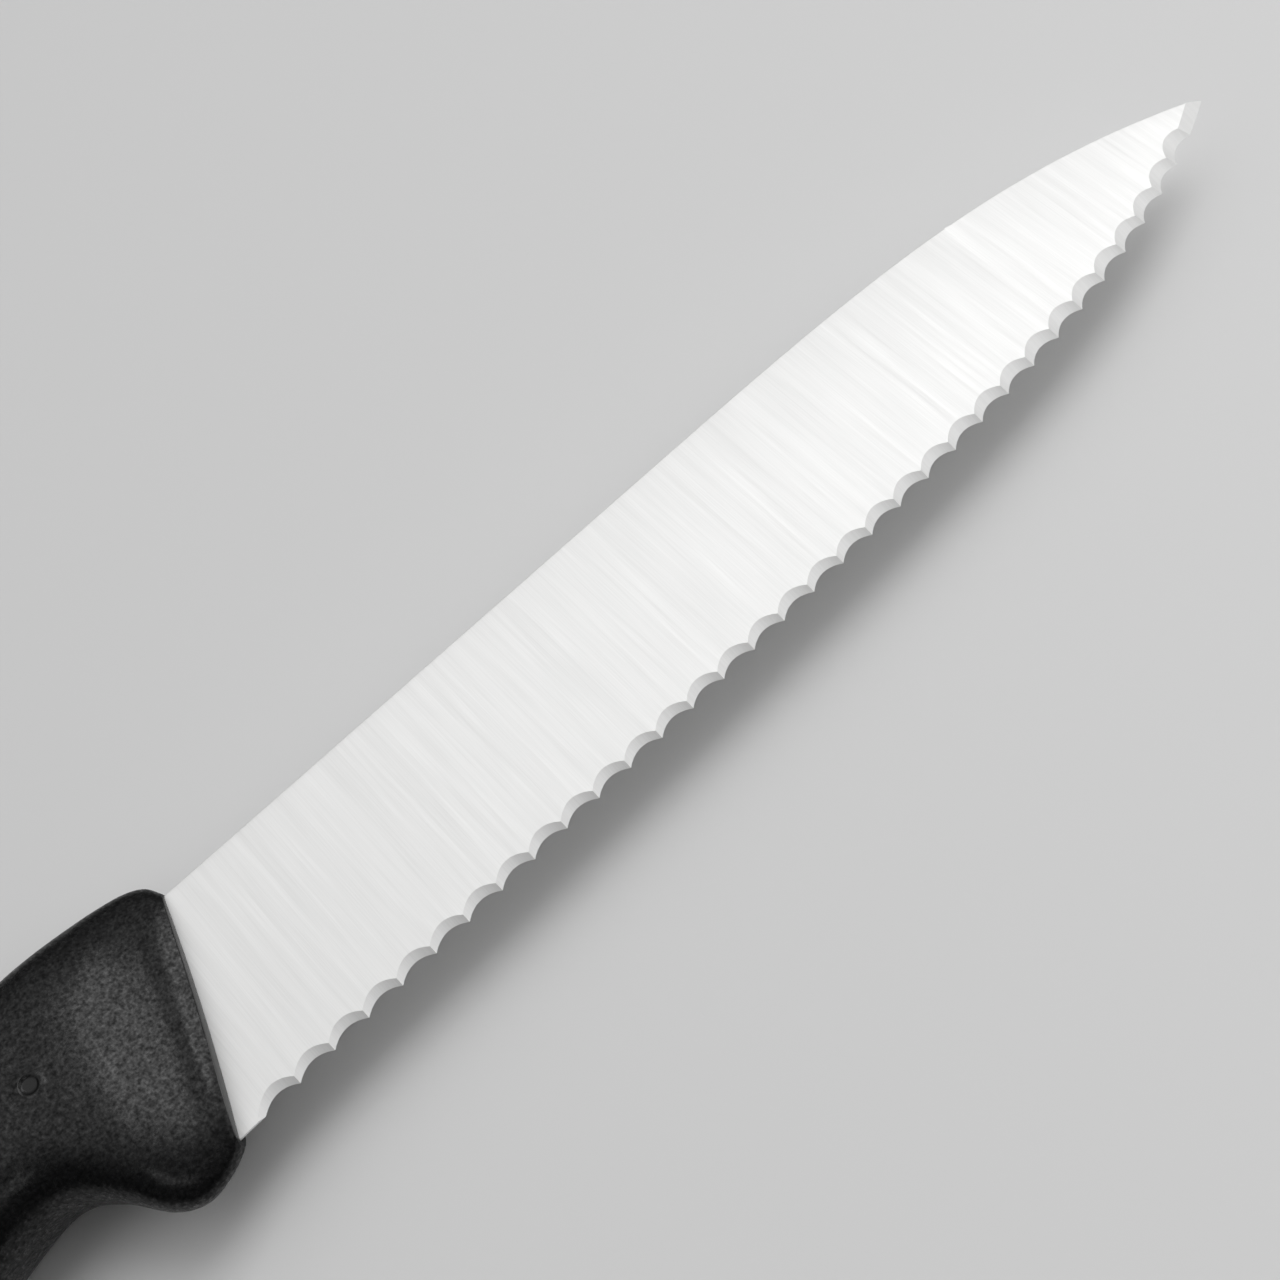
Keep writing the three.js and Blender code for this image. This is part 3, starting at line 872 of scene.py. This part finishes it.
def grained_plastic(finish):
    """Black plastic with the fine grain of its mould. The grain's tops shine, and its pits are dull; the
    tops are also painted lighter as a painted highlight, and the pits darker as painted shade.
    """
    material, tree, shader = new_material("Grained plastic")
    broad = relief(tree, BROAD_GRAIN, GRAIN_DETAIL, *GRAIN_LEVELS)
    spots = relief(tree, SPOT_GRAIN, GRAIN_DETAIL, *GRAIN_LEVELS)
    fine = relief(tree, FINE_GRAIN, GRAIN_DETAIL, *GRAIN_LEVELS)
    broad_part = between(tree, broad, 0.0, BROAD_GRAIN_SHARE)
    spot_part = between(tree, spots, 0.0, SPOT_GRAIN_SHARE)
    fine_part = between(tree, fine, 0.0, FINE_GRAIN_SHARE)
    mixed = combined(tree, "ADD", combined(tree, "ADD", broad_part, spot_part), fine_part)
    grain = spread(tree, mixed, *WHOLE_GRAIN_LEVELS)
    polish = new_node(tree, "ShaderNodeAttribute", attribute_name="polish")
    rough = between(tree, polish.outputs["Fac"], 1.0, 0.0)
    smooth = between(tree, polish.outputs["Fac"], 0.0, POLISHED_SHINE)
    height = combined(tree, "MULTIPLY", grain, rough)
    shine = combined(tree, "ADD", combined(tree, "POWER", height, SHINE_POWER), smooth)
    link = tree.links.new
    # The base colour is lighter on the grain's tops and darker in its pits: a painted highlight and
    # painted shade, not a colour of the plastic
    link(tinted(tree, height, finish.plastic, finish.plastic_painted_highlight), shader.inputs["Base Color"])
    link(between(tree, height, *GRAIN_ROUGHNESS), shader.inputs["Roughness"])
    link(between(tree, shine, *SHINE_LEVELS), shader.inputs["Coat Weight"])
    shader.inputs["Coat Roughness"].default_value = COAT_ROUGHNESS
    shader.inputs["Specular IOR Level"].default_value = PLASTIC_SPECULAR
    bumped(tree, shader, height, 1.0, GRAIN_HEIGHT)
    return material


# Stage

FLOOR_RADIUS = 6.0
FLOOR_GAP = 0.05 * MM
FLOOR_ROUGHNESS = 0.9
FLOOR_SPECULAR = 0.1

# The studio's light by direction: where the edge's side ends and the spine's side starts along Y, and
# where the band at the horizon ends along Z
EDGE_SIDE = -0.25
SPINE_SIDE = 0.1
BAND_TOP = 0.15
WHITE = (1.0, 1.0, 1.0, 1.0)

# Softboxes: place from the end of the spine, width, height and turn
KEY_BOX = (Vector((0.495, 0.231, 0.715)), 0.42, 0.76, math.radians(-12.0))
FILL_BOX = (Vector((-0.06, -0.4, 0.8)), 0.22, 0.22, 0.0)
EDGE_BOX = (Vector((0.2, -0.13, 0.2)), 0.2, 0.2, 0.0)
TIP_BOX = (Vector((0.81, -0.09, 0.38)), 0.6, 0.6, 0.0)

SENSOR_WIDTH = 36.0
NEAREST_SEEN = 0.005


def lay_floor(stage):
    """Lays the floor just under the knife."""
    bm = bmesh.new()
    bmesh.ops.create_circle(bm, cap_ends=True, segments=ROUND_SIDES, radius=FLOOR_RADIUS)
    bmesh.ops.translate(bm, vec=(0.0, 0.0, CAD_BOX[0].z - FLOOR_GAP), verts=bm.verts)
    floor = new_object("floor", bm)
    paint, tree, shader = new_material("Floor paint")
    shader.inputs["Base Color"].default_value = (*stage.floor, 1.0)
    shader.inputs["Roughness"].default_value = FLOOR_ROUGHNESS
    shader.inputs["Specular IOR Level"].default_value = FLOOR_SPECULAR
    floor.data.materials.append(paint)


def studio(stage):
    """A world that is brightest above the spine's side, with a soft band of light at the horizon."""
    world = bpy.data.worlds.new("Studio")
    world.use_nodes = True
    tree = world.node_tree
    background = tree.nodes["Background"]
    background.inputs["Color"].default_value = WHITE
    place = new_node(tree, "ShaderNodeTexCoord")
    split = new_node(tree, "ShaderNodeSeparateXYZ")
    sides = {"From Min": EDGE_SIDE, "From Max": SPINE_SIDE, "To Min": stage.front_share, "To Max": 1.0}
    front = new_node(tree, "ShaderNodeMapRange", sides)
    band = {"From Max": BAND_TOP, "To Min": stage.horizon, "To Max": stage.around}
    low = new_node(tree, "ShaderNodeMapRange", band)
    light = new_node(tree, "ShaderNodeMapRange", {"To Max": stage.sky})
    link = tree.links.new
    link(place.outputs["Generated"], split.inputs["Vector"])
    link(split.outputs["Y"], front.inputs["Value"])
    link(split.outputs["Z"], low.inputs["Value"])
    steep = combined(tree, "MULTIPLY", split.outputs["Z"], split.outputs["Z"])
    link(combined(tree, "MULTIPLY", steep, front.outputs["Result"]), light.inputs["Value"])
    link(low.outputs["Result"], light.inputs["To Min"])
    link(light.outputs["Result"], background.inputs["Strength"])
    return world


def softbox(name, place, width, height, turn, power):
    """Puts a lamp at a place from the end of the spine, facing that end and turned about its axis."""
    lamp = bpy.data.lights.new(name, "AREA")
    lamp.shape = "RECTANGLE"
    lamp.size = width
    lamp.size_y = height
    lamp.energy = power
    made = bpy.data.objects.new(name, lamp)
    made.location = SPINE_START + place
    facing = place.to_track_quat("Z", "Y") @ Euler((0.0, 0.0, turn)).to_quaternion()
    made.rotation_euler = facing.to_euler()
    made.visible_camera = False
    bpy.context.scene.collection.objects.link(made)


def new_camera(stage):
    """The camera of the settings, placed from the end of the spine."""
    view = bpy.data.cameras.new("Camera")
    view.lens = stage.camera_lens
    view.sensor_width = SENSOR_WIDTH
    view.clip_start = NEAREST_SEEN
    made = bpy.data.objects.new("Camera", view)
    made.location = SPINE_START + Vector(stage.camera_place)
    made.rotation_euler = Euler(stage.camera_turn)
    bpy.context.scene.collection.objects.link(made)
    return made


# Operators


class KNIFE_OT_blade(bpy.types.Operator):
    """Make the steel blade, with its scallops and its tang"""

    bl_idname = "knife.blade"
    bl_label = "Blade"

    def execute(self, context):
        settings = context.scene.knife
        blade = in_millimetres(settings.blade)
        piece = new_object("scalloped_blade", blade_blank(blade))
        carve(piece, tang_plate(blade, blade.sheet / 2, 0.0), "UNION")
        carve(piece, key_pins(blade, blade.key_hole), "DIFFERENCE")
        cut_scallops(piece, blade)
        finish_piece(piece, "blade", brushed_steel(settings.finish), BLADE_CREASE)
        return {"FINISHED"}


class KNIFE_OT_handle(bpy.types.Operator):
    """Make the plastic handle, with its lip, guard and pocket for the tang"""

    bl_idname = "knife.handle"
    bl_label = "Handle"

    def execute(self, context):
        settings = context.scene.knife
        blade = in_millimetres(settings.blade)
        handle = in_millimetres(settings.handle)
        skin = handle_skin(blade, handle)
        press_marks(skin, handle)
        piece = new_object("moulded_handle", skin)
        pocket = new_object("pocket", tang_plate(blade, blade.sheet / 2, handle.fit_gap))
        carve(pocket, key_pins(blade, blade.key_hole - handle.fit_gap), "DIFFERENCE")
        tool = bmesh.new()
        tool.from_mesh(pocket.data)
        bpy.data.objects.remove(pocket)
        carve(piece, tool, "DIFFERENCE")
        finish_piece(piece, "handle", grained_plastic(settings.finish), HANDLE_CREASE)
        return {"FINISHED"}


class KNIFE_OT_stage(bpy.types.Operator):
    """Make the floor, the light and the camera"""

    bl_idname = "knife.stage"
    bl_label = "Stage"

    def execute(self, context):
        scene = context.scene
        stage = scene.knife.stage
        scene.view_settings.view_transform = "Standard"
        lay_floor(stage)
        scene.world = studio(stage)
        softbox("Key softbox", *KEY_BOX, stage.key_power)
        softbox("Fill softbox", *FILL_BOX, stage.fill_power)
        softbox("Edge softbox", *EDGE_BOX, stage.edge_power)
        softbox("Tip softbox", *TIP_BOX, stage.tip_power)
        scene.camera = new_camera(stage)
        return {"FINISHED"}


class KNIFE_PT_sidebar(bpy.types.Panel):
    """The knife's pieces, their settings and its colours"""

    bl_idname = "KNIFE_PT_sidebar"
    bl_label = "Vegetable Knife"
    bl_space_type = "VIEW_3D"
    bl_region_type = "UI"
    bl_category = "Knife"

    def draw(self, context):
        for operator, group in (
            (KNIFE_OT_blade, context.scene.knife.blade),
            (KNIFE_OT_handle, context.scene.knife.handle),
            (KNIFE_OT_stage, context.scene.knife.stage),
        ):
            box = self.layout.box()
            box.operator(operator.bl_idname)
            for key in group.__annotations__:
                box.prop(group, key)
        for key in Finish.__annotations__:
            self.layout.prop(context.scene.knife.finish, key)


CLASSES = (
    BladeSizes,
    HandleSizes,
    Finish,
    Stage,
    Knife,
    KNIFE_OT_blade,
    KNIFE_OT_handle,
    KNIFE_OT_stage,
    KNIFE_PT_sidebar,
)


def register():
    for item in CLASSES:
        bpy.utils.register_class(item)
    bpy.types.Scene.knife = PointerProperty(type=Knife)


def unregister():
    del bpy.types.Scene.knife
    for item in reversed(CLASSES):
        bpy.utils.unregister_class(item)


def main():
    """Builds the knife on its stage."""
    register()
    bpy.ops.knife.stage()
    bpy.ops.knife.blade()
    bpy.ops.knife.handle()


if __name__ == "__main__":
    main()
